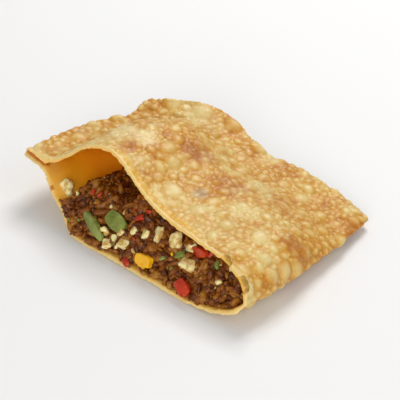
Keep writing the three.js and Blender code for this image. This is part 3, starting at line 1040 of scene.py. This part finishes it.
KINDS = [  # piece, chosen spots, strewn ones and their radii in mm, finish, slot, form
    ("onion_pieces", ONION, 16, 0.6, 1.1, onion_skin, "minced_meat", (1.1, 0.95, 0.55)),
    ("green_dice", GREEN, 8, 0.6, 1.1, green, "green_pepper", (1.2, 0.9, 0.5)),
    ("red_dice", RED, 7, 0.6, 1.0, red, "red_pepper", (1.3, 0.8, 0.5)),
    ("yellow_dice", YELLOW, 2, 0.6, 0.9, yellow, "yellow_pepper", (1.1, 0.9, 0.6)),
]
for kind in KINDS:
    bits(*kind)

# %% [markdown]
# ## A knob of onion on the lip
# One soft knob of onion has stuck to the wall by the pointed end of the cut. It is a few balls
# joined by a voxel remesh, so that it is one closed solid like the real thing. Where it would
# sink through the dough, its points are lifted onto the sheet, as if it had been pressed there.

# %% Knob of onion
KNOB_PLACE = Vector((-37.3, -34.9, 11.1))  # in mm
KNOB = [  # dx, dy, dz, radius in mm
    (0, 0, 0, 2.0), (-1.9, -0.4, 1.2, 1.5), (1.0, 0.2, 1.8, 1.8), (1.3, -0.4, -1.4, 1.4),
    (-0.8, 0.3, 2.9, 1.2),
]
bpy.ops.object.select_all(action="DESELECT")
balls = []
for dx, dy, dz, radius in KNOB:
    spot = (KNOB_PLACE + Vector((dx, dy, dz))) * MM
    bpy.ops.mesh.primitive_ico_sphere_add(subdivisions=3, radius=radius * MM, location=spot)
    balls.append(bpy.context.object)
for ball in balls:
    ball.select_set(True)
bpy.ops.object.join()
knob = bpy.context.object
knob.name = knob.data.name = "onion_knob"
bpy.ops.object.transform_apply(location=True, rotation=True, scale=True)
finish_modifier(knob, "REMESH", mode="VOXEL", voxel_size=0.22 * MM, adaptivity=0)
finish_modifier(knob, "SMOOTH", factor=0.5, iterations=4)
at = points(knob)
at = at + point_normals(knob) * (0.25 * MM * waves(at, 1.2 * MM, 91, 2))[:, None]

# %% Press the knob on the dough
SUNK_IN = 0.3 * MM
THICKEST = 4 * MM  # a longer way through isn't the lower sheet but the open pocket
pressed = 0
for index, (px, py, pz) in enumerate(at):
    outer = dough_skin.ray_cast(Vector((px, py, 0)) - UP * MM, UP)[0]
    inner = outer and dough_skin.ray_cast(outer + UP * 0.05 * MM, UP)[0]
    if inner and pz < inner.z - SUNK_IN and inner.z - outer.z < THICKEST:
        at[index, 2] = inner.z - SUNK_IN
        pressed += 1
set_points(knob, at)
print("pressed on the dough:", pressed, "points")
smooth_shaded(knob)
knob.data.materials.append(onion_skin)
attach(knob, "root")
print("onion knob:", len(knob.data.polygons), "faces")

# %% [markdown]
# ## The mince itself
# The crumbs come last, so that they fill the room round the pieces of vegetable and lap over
# their edges. Long shreds go first, then lumps, then the small crumbs between them.

# %% Heap the mince
lumps_of_meat = lump_shapes(7, 100, 0.62) + lump_shapes(7, 140, 0.58, (1.5, 0.85, 0.65))
shreds = lump_shapes(6, 180, 0.55, (1.9, 0.7, 0.5))
taken = list(bit_places)
placed = scatter(shreds, 2500, 1.6, 2.5, 0.5, (0.4, 0.9), taken, 130)
placed += scatter(lumps_of_meat, 8000, 1.3, 2.5, 0.48, (0.35, 0.95), taken, 460)
placed += scatter(lumps_of_meat + shreds, 9000, 0.6, 1.2, 0.45, (0.0, 0.8), taken, 760)
mince = heap("mince", placed)

# %% Mince in many browns
mince_meat, here, shader = new_material("mince_crumbs", **MOIST_MEAT)
fibre = here.clouds(620, 4, 0.62)
own = here.attribute("shade")
flesh = (fibre * 0.60 + own * 0.42 + here.clouds(120, 2) * 0.45 - 0.22).coloured(
    (0.14, (0.024, 0.004, 0.0003)),
    (0.36, (0.120, 0.025, 0.001)),
    (0.60, (0.26, 0.071, 0.002)),
    (0.92, (0.56, 0.27, 0.034)),
)
plug(shader, Base_Color=flesh, Roughness=0.25 + fibre * 0.4, Normal=bump(fibre, 0.7, 0.45 * MM))
mince.data.materials.append(mince_meat)
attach(mince, "root")
print("mince:", len(mince_meat.node_tree.nodes), "nodes")

# %% [markdown]
# ## Table, light and camera
# The table is plain and pale. The main light is large and comes from behind on the left, with a
# small one beside it for the glints on the blisters. A third shines into the mouth from the
# front and a weak one softens the right side. The camera looks down into the mouth with a long
# lens, so that the form is not stretched.

# %% Table
TABLE_SIDE = 6.0
TABLE_GAP = 0.2 * MM  # so that the flat belly and the table don't flicker through each other
bpy.ops.object.select_all(action="DESELECT")
bpy.ops.mesh.primitive_plane_add(size=TABLE_SIDE, location=(0, 0, -TABLE_GAP))
table = bpy.context.object
table.name = "table"
table_finish, here, shader = new_material("pale_table", Roughness=0.6)
plug(shader, Base_Color=here.clouds(3, 2).mixed((0.86, 0.86, 0.86), (0.89, 0.89, 0.885)))
table.data.materials.append(table_finish)
print("table:", TABLE_SIDE, "m square")

# %% Light
def direction(azimuth, elevation):
    """Towards a light or the camera. Azimuth 0 is in front and 90 on the +X side."""
    a, e = math.radians(azimuth), math.radians(elevation)
    return Vector((math.sin(a) * math.cos(e), -math.cos(a) * math.cos(e), math.sin(e)))


def soft_light(name, azimuth, elevation, distance, size, power, colour=(1, 1, 1)):
    """A square light that faces the object, with its size in metres and power in watts."""
    lamp = bpy.data.lights.new(name, "AREA")
    lamp.size = size
    lamp.energy = power
    lamp.color = colour
    light = bpy.data.objects.new(name, lamp)
    light.location = distance * direction(azimuth, elevation)
    light.rotation_euler = (-light.location).to_track_quat("-Z", "Y").to_euler()
    bpy.context.scene.collection.objects.link(light)


soft_light("key", 205, 52, 1.0, 0.40, 5.0, (1, 0.985, 0.96))
soft_light("spark", 215, 42, 1.0, 0.10, 0.6)
soft_light("fill", 34, 22, 1.2, 0.6, 6.6)
soft_light("side", 100, 35, 1.2, 0.7, 1.2)
WORLD_STRENGTH = 0.40
world = bpy.data.worlds.new("studio")
world.use_nodes = True
background = world.node_tree.nodes["Background"]
background.inputs["Color"].default_value = (1, 1, 1, 1)
background.inputs["Strength"].default_value = WORLD_STRENGTH
bpy.context.scene.world = world
bpy.context.scene.view_settings.view_transform = "Standard"
print("lights:", ", ".join(sorted(lamp.name for lamp in bpy.data.lights)))

# %% Camera
AZIMUTH, ELEVATION, ROLL = 44.25, 32.4, 1.57
DISTANCE = 0.62
LENS, SENSOR = 145, 36
AIM_LOW = Vector((0, 0, -9 * MM))  # the look-at point lies a little under the box's centre
low, high = (Vector(corner) for corner in cad_box)
centre = (low + high) / 2
back = direction(AZIMUTH, ELEVATION)
camera = bpy.data.objects.new("camera", bpy.data.cameras.new("camera"))
camera.data.lens = LENS
camera.data.sensor_width = SENSOR
camera.data.clip_start = 0.01
camera.location = centre + AIM_LOW + back * DISTANCE
aim = (-back).to_track_quat("-Z", "Y") @ Quaternion(UP, math.radians(ROLL))
camera.rotation_euler = aim.to_euler()
bpy.context.scene.collection.objects.link(camera)
bpy.context.scene.camera = camera
print("camera at", [round(c, 3) for c in camera.location])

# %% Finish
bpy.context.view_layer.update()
print("done in", round(time.time() - started, 1), "s")
